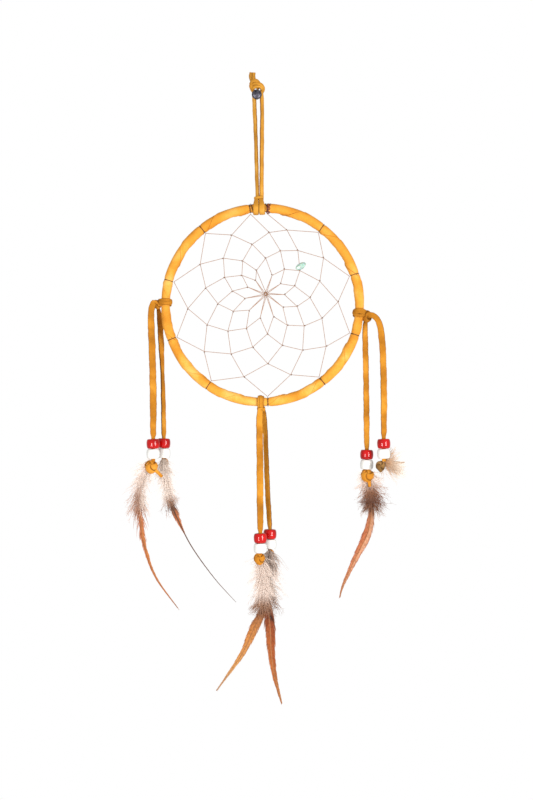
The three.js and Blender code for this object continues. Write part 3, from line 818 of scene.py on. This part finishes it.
# ---- Thongs, with their beads and end knots ----
# Six suede thongs, cut by hand from one hide. Each hangs from its lashing, is drawn narrow
# through its two beads, and ends in a knot that holds them up. The feather's quill is pushed
# up into the back of the bores, beside the lace.
thong_layer = 4.6
thong_thickness = 1.6
in_beads = {"width": 2.6, "thickness": 1.3, "length": 16.0, "steps": 26}
bead_drops = {"red": (4.25, red_glass), "white": (10.85, white_glass)}
pendants = {
    "left_outer": dict(
        lashing="left",
        layer=-1,
        exit=(-3.6, 0.6),
        route=[(0, 0), (-0.5, -8), (0.2, -30), (0.9, -60), (0.9, -88.2)],
        widths=[(0, 4.0), (0.2, 4.5), (0.8, 4.5), (1, 3.8)],
        aims=[(0, -10), (0.4, 8), (1, -6)],
        knot=dict(
            place=(-1.2, -19.3),
            size=4.2,
            lean=0.4,
            tail=[(1.5, -1), (4, -3.4), (7.2, -6.6)],
        ),
    ),
    "left_inner": dict(
        lashing="left",
        layer=1,
        exit=(0.6, -3.4),
        route=[(0, 0), (0.6, -8), (1.8, -30), (2.8, -58), (3.2, -84)],
        widths=[(0, 1.8), (0.05, 2.4), (0.12, 3.8), (0.3, 3.9), (0.6, 3.6), (1, 3.4)],
        aims=[(0, 12), (0.3, 30), (0.52, 62), (0.66, 52), (1, 35)],
        knot=dict(place=(0.4, -17.2), size=2.7, lean=1.2, tail=[(0.3, 0), (0.8, -2), (0.6, -3.4)]),
    ),
    "right_outer": dict(
        lashing="right",
        layer=-1,
        exit=(1.6, 0.9),
        route=[(0, 0), (3.6, -1.2), (6.6, -6), (8.2, -15), (9.1, -30), (9.6, -55), (9.5, -80.6)],
        widths=[(0, 3.6), (0.25, 4.3), (0.8, 4.2), (1, 3.6)],
        aims=[(0, -5), (0.2, -18), (0.5, 10), (1, 14)],
        knot=dict(place=(-2.2, -18.8), size=3.0, lean=0.8, tail=[(0, 0), (-0.5, -2), (0.6, -3.9)]),
    ),
    "right_inner": dict(
        lashing="right",
        layer=1,
        exit=(-0.8, -2.5),
        route=[(0, 0), (0.1, -8), (0.6, -30), (1, -58), (1.2, -84.6)],
        widths=[(0, 2.4), (0.05, 3.0), (0.12, 3.7), (0.3, 3.8), (0.8, 3.9), (1, 3.5)],
        aims=[(0, 18), (0.35, -12), (0.7, 6), (1, -10)],
        knot=dict(place=(0.4, -17.9), size=4.2, lean=0.1, tail=[(0.6, -1), (1.2, -5), (1.6, -7.6)]),
    ),
    "bottom_left": dict(
        lashing="bottom",
        layer=-1,
        exit=(-1.2, -2),
        route=[(0, 0), (0.1, -8), (0.4, -30), (0.5, -55), (0.7, -78.6)],
        widths=[(0, 3.8), (0.2, 4.4), (0.8, 4.4), (1, 3.7)],
        aims=[(0, 14), (0.4, -6), (0.75, 10), (1, 0)],
        knot=dict(place=(-0.6, -17.7), size=3.6, lean=0.55, tail=[(0.8, 0), (0.4, -2), (-0.2, -4)]),
    ),
    "bottom_right": dict(
        lashing="bottom",
        layer=1,
        exit=(2.2, -2.2),
        route=[(0, 0), (0.3, -8), (1.2, -30), (2.2, -55), (3.6, -76.4)],
        widths=[(0, 3.2), (0.3, 3.5), (0.8, 3.4), (1, 3.2)],
        aims=[(0, -25), (0.3, -38), (0.7, -20), (1, -30)],
        knot=dict(place=(0.3, -17.2), size=2.7, lean=1.5, tail=[(0.3, 0), (0.9, -2), (0.7, -3.2)]),
    ),
}


def along_marks(share, marks):
    """Values read off along a line between given marks of (share, value), eased at the marks."""
    marks = np.array(marks, float)
    fine = np.linspace(0, 1, 201)
    line = np.interp(fine, marks[:, 0], marks[:, 1])
    line = np.convolve(np.pad(line, 12, "edge"), np.hanning(25) / np.hanning(25).sum(), "valid")
    return np.interp(share, fine, line)


feet = {}
for number, (pendant, facts) in enumerate(pendants.items()):
    lashed = lashings[facts["lashing"]]
    layer = facts["layer"] * thong_layer
    eye = beside_hoop(lashed["angle"], *lashed["knot"])
    eye = np.array([eye[0] + facts["exit"][0], layer, eye[2] + facts["exit"][1]])
    hung = [(eye[0] + x, layer, eye[2] + z) for x, z in facts["route"][1:]]
    along, out = lashed["knot"]
    tied = beside_hoop(lashed["angle"], along, out + 0.8) + (0, 0.45 * layer, 0)
    over = 0.4 * tied + 0.6 * eye + (0, 0, 0.5)
    hung = [tied, over, *hung]
    foot = np.array(hung[-1])
    feet[pendant] = foot
    line = smooth_line(hung, 150)
    steps = in_beads["steps"]
    down = np.linspace(0, 1, steps + 1)[1:, None]
    through = foot + down * np.array([0, -0.45, -in_beads["length"]])
    share = np.linspace(0, 1, 150)
    wide = along_marks(share, facts["widths"]) + 0.12 * ripple(share * 14, 1, 70 + number)
    aim = np.radians(along_marks(share, facts["aims"])) + 0.1 * ripple(share * 9, 1, 80 + number)
    drawn = np.clip((foot[2] + 3.4 - line[:, 2]) / 3.2, 0, 1) ** 2
    thin_wide, thin = in_beads["width"], in_beads["thickness"]
    wide = np.concatenate([wide * (1 - drawn) + thin_wide * drawn, np.full(steps, thin_wide)])
    thick = np.concatenate([thong_thickness * (1 - drawn) + thin * drawn, np.full(steps, thin)])
    aim = np.concatenate([aim, np.full(steps, aim[-1])])
    line = np.concatenate([line, through])
    facing = np.stack([np.sin(aim), -np.cos(aim), 0 * aim], -1)
    lace = lace_along(line, facing, wide, thick, 90 + number, soft=0.26)
    thong = soft_piece(f"{pendant}_thong_lace", lace, pendant_suede)
    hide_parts(f"{pendant}_thong")
    for label, (drop, paint) in bead_drops.items():
        tilt = 0.05 * math.sin(3 * number + drop)
        points, faces = bead_shape()
        aside, height = points[..., 0], points[..., 2]
        leant = points + np.stack([height * tilt, 0 * height, -aside * tilt], -1)
        bead = new_piece(
            f"{pendant}_{label}_glass",
            leant + foot - (0, 0, drop),
            faces,
            paint,
            f"{pendant}_beads",
            f"{label}_glass",
        )
        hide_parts(f"{pendant}_{label}_bead")
    knot = facts["knot"]
    size, (aside, drop) = knot["size"], knot["place"]
    centre = foot + (aside, -0.4, drop)
    tail = smooth_line([(x, -0.8 - 0.25 * i, z) for i, (x, z) in enumerate(knot["tail"])], 18)
    shapes = [
        knot_shape(centre, size, 0.66, knot["lean"], 1.0 * size, 0.58 * size, 100 + number),
        lace_along(centre + tail, (0.2, -1, 0.1), np.linspace(2.5, 2.0, 18), 1.2, 110 + number),
    ]
    paint = brown_suede if pendant == "right_outer" else knot_suede
    shape = gathered(*shapes)
    end_knot = soft_piece(f"{pendant}_end_knot_lace", shape, paint, f"{pendant}_beads")
    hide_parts(f"{pendant}_end_knot")
    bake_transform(thong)


# ---- Feathers ----
# Six dyed rooster hackles. Each has a horny quill, soft loose down at its foot, and then a narrow
# pointed vane of close barbs, which part here and there where they have been stroked the wrong way.
def fibres(start, bend, end, width, thickness, steps, along, gain, side):
    """Many thin, flat fibres. Each follows the curve of three points, start, bend and end, with
    an oblong section that narrows to its tip. Each corner carries how far along the quill it
    is, and how far out along its fibre, to the left or to the right."""
    many = len(start)
    share = np.linspace(0, 1, steps + 1)[None, :, None]
    line = (1 - share) ** 2 * start[:, None] + 2 * share * (1 - share) * bend[:, None]
    line = line + share**2 * end[:, None]
    way, face = across_of(line, np.broadcast_to((0, -1, 0.01), line.shape))
    aside = np.cross(way, face)
    narrowing = 1 - 0.8 * share**2.5
    corners = np.array([(1, 1), (-1, 1), (-1, -1), (1, -1)]) / 2
    wide = np.broadcast_to(width, many)[:, None, None] * narrowing
    thick = np.broadcast_to(thickness, many)[:, None, None] * narrowing
    points = (
        line[:, :, None]
        + (wide[:, :, None] * corners[:, :1]) * aside[:, :, None]
        + (thick[:, :, None] * corners[:, 1:]) * face[:, :, None]
    )
    caps = np.array([[3, 2, 1, 0], [steps * 4, steps * 4 + 1, steps * 4 + 2, steps * 4 + 3]])
    one = np.concatenate([grid_faces(steps + 1, 4), caps[:, ::-1]])
    if (outwards(points[0], one[:-2]) != one[:-2]).any():
        one = one[:, ::-1]
    faces = (one + np.arange(many)[:, None, None] * (steps + 1) * 4).reshape(-1, 4)
    flat = np.zeros(points.shape[:3])
    along, gain = (np.asarray(part, float)[:, None, None] for part in (along, gain))
    place = flat + along + gain * share
    reach = flat + 0.5 + 0.5 * np.asarray(side, float)[:, None, None] * share
    return points.reshape(-1, 3), faces, np.stack([np.clip(place, 0, 1), reach], -1).reshape(-1, 2)


def mapped(piece, places):
    """Gives a piece its two equal maps: one to paint from and one named OFBake."""
    mesh = piece.data
    corner = np.empty(len(mesh.loops), np.int32)
    mesh.loops.foreach_get("vertex_index", corner)
    for label in ("OFBake", "barbs"):
        layer = mesh.uv_layers.new(name=label)
        layer.data.foreach_set("uv", places[corner].astype(np.float32).ravel())


def spine_frame(spine, share):
    """Points on the quill at shares of its length, and the ways along it and to its left."""
    even = np.linspace(0, 1, len(spine))
    way = np.gradient(spine, axis=0)
    way = way / np.linalg.norm(way, axis=1, keepdims=True)
    here = np.stack([np.interp(share, even, axis) for axis in spine.T], -1)
    along = np.stack([np.interp(share, even, axis) for axis in way.T], -1)
    along /= np.linalg.norm(along, axis=1, keepdims=True)
    aside = np.cross(along, (0, 1, 0))
    return here, along, aside / np.linalg.norm(aside, axis=1, keepdims=True)


def vane_fibres(spine, first, last, half_width, fullest, loose, seed, taper=1.1, count=230):
    """The close barbs. They leave the quill at a slant and bend towards its tip; the vane's width
    rises to its fullest place and then tapers. The lowest barbs stand loose from the rest."""
    random = np.random.default_rng(seed)
    length = np.linalg.norm(np.diff(spine, axis=0), axis=1).sum()
    parts = []
    for side in (-1, 1):
        root = first + (last - first) * (np.arange(count) + random.uniform(0, 1, count)) / count
        share = (root - first) / (last - first)
        rising = np.clip(share / fullest, 0, 1) ** 0.5
        falling = np.clip((1 - share) / (1 - fullest), 0, 1) ** taper
        out = half_width * (0.45 + 0.55 * rising) * (0.12 + 0.88 * falling)
        out *= 1 + 0.07 * ripple(share * 26, 1, seed + side) + random.normal(0, 0.07, count)
        free = np.exp(-share / 0.16) * random.uniform(-0.5, 1, count) ** 3
        out = out * (1 + loose * free)
        ahead = out * random.normal(2.7, 0.25, count) / length
        ahead = np.minimum(ahead, 1.0 - root)
        here, _, _ = spine_frame(spine, root)
        mid, _, mid_aside = spine_frame(spine, root + 0.38 * ahead)
        last_here, last_along, last_aside = spine_frame(spine, root + ahead)
        depth = 0.3 * ripple(root * 24, 1, seed + 7) * out / half_width
        depth = depth + random.normal(0, 0.07, count)
        lift = np.array([0, 1, 0]) * (depth - 0.8 * loose * free * np.exp(-share / 0.1))[:, None]
        bend = mid + mid_aside * (side * out * 0.8)[:, None] + lift * 0.5
        end = last_here + last_aside * (side * out)[:, None] + lift
        end = end + last_along * random.uniform(0, 1.2, count)[:, None]
        width = 0.34 + 0.12 * random.uniform(0, 1, count)
        sides = np.full(count, side)
        parts.append(fibres(here, bend, end, width, 0.1, 6, root, 0.4 * ahead, sides))
    return parts


def down_fibres(spine, first, last, reach, slant, spread, seed, front=0.0, count=420, hairs=8):
    """The loose down. Long soft barbs stand out from the quill all round and sweep towards its
    tip, and each bears fine hairs on both sides. Those nearest the knot may lie over it."""
    random = np.random.default_rng(seed)
    length = np.linalg.norm(np.diff(spine, axis=0), axis=1).sum()
    root = first + (last - first) * random.uniform(0, 1, count) ** (1.5 if front else 1)
    side = np.where(random.uniform(0, 1, count) < 0.5 + 0.5 * spread, 1, -1)
    long = reach * random.uniform(0.35, 1.0, count) * np.where(side * spread > 0, 1.1, 0.9)
    angle = np.radians(np.abs(random.normal(0.9 * slant, 0.66 * slant, count)))
    out, ahead = long * np.sin(angle), long * np.cos(angle) / length
    ahead = np.minimum(ahead, 0.99 - root)
    here, _, _ = spine_frame(spine, root)
    mid, _, mid_aside = spine_frame(spine, root + 0.35 * ahead)
    last_here, _, last_aside = spine_frame(spine, root + ahead)
    depth = random.normal(-0.95, 0.7, count) - front * np.exp(-root * length / 6)
    lift = np.array([0, 1, 0]) * depth[:, None]
    here = here + lift * np.clip(front * np.exp(-root * length / 6), 0, 0.8)[:, None]
    sway = random.normal(0, 0.07, (count, 3)) * long[:, None]
    bend = mid + mid_aside * (side * out * 0.72)[:, None] + lift
    end = last_here + last_aside * (side * out)[:, None] + lift * 1.2 + sway
    parts = [fibres(here, bend, end, 0.2, 0.12, 6, root, ahead, side)]
    picked = random.uniform(0.08, 0.99, (count, hairs, 1))
    base = (1 - picked) ** 2 * here[:, None] + 2 * picked * (1 - picked) * bend[:, None]
    base = base + picked**2 * end[:, None]
    way = 2 * (1 - picked) * (bend - here)[:, None] + 2 * picked * (end - bend)[:, None]
    way = way / np.linalg.norm(way, axis=-1, keepdims=True)
    turned = random.uniform(0, 1, (count, hairs, 1)) < 0.5
    across = np.cross(way, (0, 1, 0)) * np.where(turned, 1, -1)
    size = random.uniform(1.0, 2.6, (count, hairs, 1))
    tip = base + (way * 0.85 + across * 0.42 + random.normal(0, 0.17, base.shape)) * size
    middle = (base + tip) / 2 + across * 0.12 * size
    many = count * hairs
    placed = (root[:, None] + ahead[:, None] * picked[..., 0]).ravel()
    lines = [spots.reshape(many, 3) for spots in (base, middle, tip)]
    parts.append(fibres(*lines, 0.09, 0.06, 2, placed, 0 * placed, np.repeat(side, hairs) * 0.9))
    return parts


def plumage(name, left, right, ends, streaks, full):
    """Barbs dyed by hand: the colour changes along the quill and is its own on the left and on
    the right, goes over to another at the barbs' ends, and is streaked from barb to barb. The
    left and the right are given as shares of the quill's length with the colour at each."""
    material = finish(name, 0.7, Specular_IOR_Level=0.2)
    place = add_node(material, "UVMap", uv_map="barbs").outputs[0]
    parts = add_node(material, "SeparateXYZ", {0: place}).outputs
    sides = ramp(material, parts[1], (0.495, 0.0), (0.505, 1.0))
    tone = mixed(
        material,
        sides,
        ramp(material, parts[0], *left.items()),
        ramp(material, parts[0], *right.items()),
    )
    out = add_node(material, "Math", {0: parts[1], 1: 0.5}, operation="SUBTRACT").outputs[0]
    out = add_node(material, "Math", {0: out}, operation="ABSOLUTE").outputs[0]
    share = ramp(material, out, (ends[1], 0.0), (0.5, ends[2]))
    tone = mixed(material, share, tone, colour(ends[0]))
    stretch = {0: place, 1: (110, 5, 1)}
    wide = add_node(material, "VectorMath", stretch, operation="MULTIPLY").outputs[0]
    noise = {"Vector": wide, "Scale": 1.0, "Detail": 3.0}
    streak = add_node(material, "TexNoise", noise).outputs["Fac"]
    shade = ramp(material, streak, (0.34, full - streaks), (0.6, full))
    drive(material, "Base Color", mixed(material, 1.0, tone, shade, "MULTIPLY"))
    return material


def horn(name, dark, pale):
    """Horn: smooth, and grained along its length."""
    material = finish(name, 0.55, Specular_IOR_Level=0.3)
    grain = cloud(material, on_object(material), 0.004, detail=4)
    drive(material, "Base Color", ramp(material, grain, (0.3, dark), (0.7, pale)))
    bumped(material, grain, 0.00003)
    return material


pale_horn = horn("pale_quill_horn", "8c5834", "b27a4c")
dark_horn = horn("dark_quill_horn", "4a2e20", "6e4a36")

feathers = {
    "left_outer": dict(
        spine=[
            (0, 0), (-3.5, -7), (-7, -15), (-9, -28), (-8.4, -40), (-5.8, -57), (1.6, -77.7),
            (17, -99.3),
        ],
        vane=dict(first=0.27, last=0.98, half_width=1.35, fullest=0.1, loose=5.0, taper=1.0),
        down=dict(first=0.0, last=0.3, reach=12.5, slant=24, spread=-0.3),
        left={0.3: "a87c68", 0.42: "bc6c40", 0.6: "c46a2c", 0.85: "b8622a", 1.0: "7d5a44"},
        right={0.3: "b98d78", 0.4: "cc7846", 0.6: "d88038", 0.85: "d07a36", 1.0: "8a6248"},
        ends=("d9a58a", 0.2, 0.4),
        fluff={0.0: "f8e6da", 0.17: "f2dccd", 0.25: "c29a84", 0.34: "b88468", 0.42: "c8845c"},
        pale={0.0: "efdfd3", 0.28: "ead5c6", 0.4: "d4a58c"},
    ),
    "left_inner": dict(
        spine=[
            (0, 0), (0.6, -7), (2.3, -19.5), (4.8, -29.5), (8.1, -38), (18.1, -58), (33.1, -79),
            (47.8, -95.4),
        ],
        quill=0.42,
        vane=dict(first=0.27, last=0.48, half_width=2.0, fullest=0.1, loose=0.8, count=70),
        down=dict(first=0.0, last=0.27, reach=11, slant=22, spread=-0.05, front=3.4, count=480),
        left={0.26: "5e3d2c", 0.33: "a06040", 0.4: "c87040", 0.5: "b0602f"},
        right={0.26: "5e3d2c", 0.32: "b06a45", 0.4: "d87f4a", 0.5: "b0602f"},
        ends=("e8a57e", 0.3, 0.5),
        fluff={
            0.0: "b8a494", 0.05: "f0dfd2", 0.22: "f8e8dc", 0.27: "b08468", 0.31: "6e4228",
            0.37: "b87850",
        },
    ),
    "right_outer": dict(
        spine=[(0, 0), (1.5, -0.8), (4.5, -1.8), (8, -2.2), (11, -2.2), (14, -2.0)],
        vane=dict(first=0.3, last=0.95, half_width=0.9, fullest=0.2, loose=1.0, count=14),
        down=dict(first=0.0, last=0.35, reach=13, slant=38, spread=-0.6, count=190),
        left={0.0: "8d6b4c", 0.9: "c8a884"},
        right={0.0: "8d6b4c", 0.9: "c8a884"},
        ends=("e0cbb4", 0.2, 0.6),
        fluff={0.0: "8c6038", 0.25: "c89a70", 0.8: "f0dcc6"},
    ),
    "right_inner": dict(
        spine=[
            (0, 0), (1.3, -9.7), (2.9, -19.2), (3.1, -28.7), (1.9, -37.5), (-0.7, -45.4),
            (-8.6, -61.2), (-15.8, -77.1), (-17.9, -85),
        ],
        vane=dict(first=0.25, last=0.985, half_width=2.8, fullest=0.25, loose=0.5, taper=1.1),
        down=dict(first=0.0, last=0.27, reach=12, slant=38, spread=0.1, count=560),
        left={0.25: "5c3420", 0.34: "b87450", 0.5: "c87248", 0.75: "d0845c", 1.0: "a87048"},
        right={0.25: "5c3420", 0.34: "c88e6a", 0.5: "e6a882", 0.75: "dc9872", 1.0: "b07850"},
        ends=("b05430", 0.3, 0.6),
        fluff={
            0.0: "f4e4d8", 0.1: "ecd4c4", 0.16: "a06a48", 0.24: "6e3a1c", 0.32: "84502c",
            0.38: "c08860",
        },
    ),
    "bottom_left": dict(
        spine=[
            (0, 0), (0.8, -10), (1.4, -20), (1.4, -31), (0.7, -40), (-4.1, -49.2), (-11.9, -66),
            (-23.4, -82.7), (-29, -90.6),
        ],
        vane=dict(first=0.33, last=0.985, half_width=2.9, fullest=0.16, loose=0.5, taper=1.3),
        down=dict(first=0.0, last=0.35, reach=14, slant=25, spread=-0.1, count=480),
        left={0.33: "7d5236", 0.42: "b06e3e", 0.55: "cf8544", 0.8: "dc9c58", 1.0: "b89a80"},
        right={0.33: "7d5236", 0.42: "b87440", 0.55: "d08848", 0.8: "dea260", 1.0: "b89a80"},
        ends=("bc7038", 0.3, 0.5),
        fluff={0.0: "c4b0a2", 0.1: "ecd8ca", 0.27: "f2dfd2", 0.35: "a87c60", 0.42: "824e2c"},
    ),
    "bottom_right": dict(
        spine=[
            (0, 0), (-0.8, -12), (-1.2, -24), (-0.6, -42), (0.4, -56), (0.9, -68), (3.3, -84.7),
            (7.9, -102.7),
        ],
        vane=dict(first=0.32, last=0.985, half_width=3.3, fullest=0.14, loose=0.5, taper=1.0),
        down=dict(first=0.0, last=0.34, reach=15, slant=26, spread=0.1, front=3.4, count=520),
        left={0.32: "7a4a30", 0.42: "a0522e", 0.6: "b8642f", 0.8: "c0703a", 0.95: "a8683c"},
        right={
            0.32: "6b3a20", 0.4: "8a4426", 0.43: "2c1610", 0.46: "9c4c26", 0.7: "b05c2c",
            0.95: "c08048",
        },
        ends=("d08a60", 0.3, 0.5),
        fluff={
            0.0: "b09c90", 0.1: "c0aa9c", 0.16: "ecd8ca", 0.28: "eedccf", 0.36: "9c7054",
            0.42: "6e4024",
        },
    ),
}
for number, (pendant, look) in enumerate(feathers.items()):
    foot = feet[pendant]
    root = foot + (0, 0.94, -14.45)
    spots = [root + (x, 1.1 * min(1, math.hypot(x, z) / 20), z) for x, z in look["spine"]]
    spine = smooth_line(spots, 160)
    share = np.linspace(0, 1, 160)
    thick = look.get("quill", 0.3) * (1 - share) ** 0.7 + 0.12
    points, faces = tubes([spine], [thick], (0, -1, 0.01), 8)
    paint = dark_horn if pendant == "left_inner" else pale_horn
    name = f"{pendant}_quill"
    quill = new_piece(name, points, faces, paint, body=f"{pendant}_beads", slot="hackle")
    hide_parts(f"{pendant}_feather")
    vane = vane_fibres(spine, **look["vane"], seed=200 + number)
    down = down_fibres(spine, **look["down"], seed=220 + number)
    vane_paint = look["left"], look["right"], look["ends"], 0.4, 0.86
    down_paint = look["fluff"], look.get("pale", look["fluff"]), ("fff6ee", 0.1, 0.12), 0.24, 1.0
    for label, parts, paint in (("vane", vane, vane_paint), ("down", down, down_paint)):
        first, faces = 0, []
        for some, quads, _ in parts:
            faces.append(quads + first)
            first += len(some)
        points = np.concatenate([some for some, _, _ in parts])
        places = np.concatenate([place for _, _, place in parts])
        piece = new_piece(
            f"{pendant}_{label}",
            points,
            np.concatenate(faces),
            plumage(f"{pendant}_{label}_barbs", *paint),
            body=f"{pendant}_beads",
            slot="hackle",
            smooth=False,
        )
        mapped(piece, places)


# ---- Nail and floor ----
# The nail that the loop hangs on, a blued steel one, and a pale floor well below. Neither is
# part of the hanging.
blued = finish("blued_steel", 0.42, Metallic=0.85)
forged = cloud(blued, on_object(blued), 0.0016, detail=4)
drive(blued, "Base Color", ramp(blued, forged, (0.3, "2d2b33"), (0.7, "74727e")))
bumped(blued, forged, 0.0002)
nail_head = [(0.02, -7.4), (1.8, -7.3), (2.9, -6.8), (3.3, -6.1), (3.2, -5.4), (2.6, -5.0)]
nail_shank = [(1.6, -4.7), (1.5, 6), (0.02, 8)]
reach, depth = np.array(nail_head + nail_shank).T
turn = np.arange(48)[:, None] / 48 * 2 * np.pi
points = (-0.8 + reach * np.cos(turn), depth + 0 * turn, -2.9 + reach * np.sin(turn))
points = np.stack(np.broadcast_arrays(*points), -1)
faces = outwards(points, grid_faces(48, 9, ring=False, joined=True))
nail = new_piece("nail", points, faces, blued)
pale = finish("pale_floor", 0.8)
speck = cloud(pale, on_object(pale), 0.02, detail=5)
drive(pale, "Base Color", ramp(pale, speck, (0.3, "f0efee"), (0.7, "f8f8f7")))
turn = np.linspace(0, 2 * np.pi, 96, endpoint=False)
disc = np.stack([380 * np.cos(turn) + 5.6, 380 * np.sin(turn), 0 * turn - 550], -1)
floor = new_piece("floor", disc, [list(range(96))], pale)
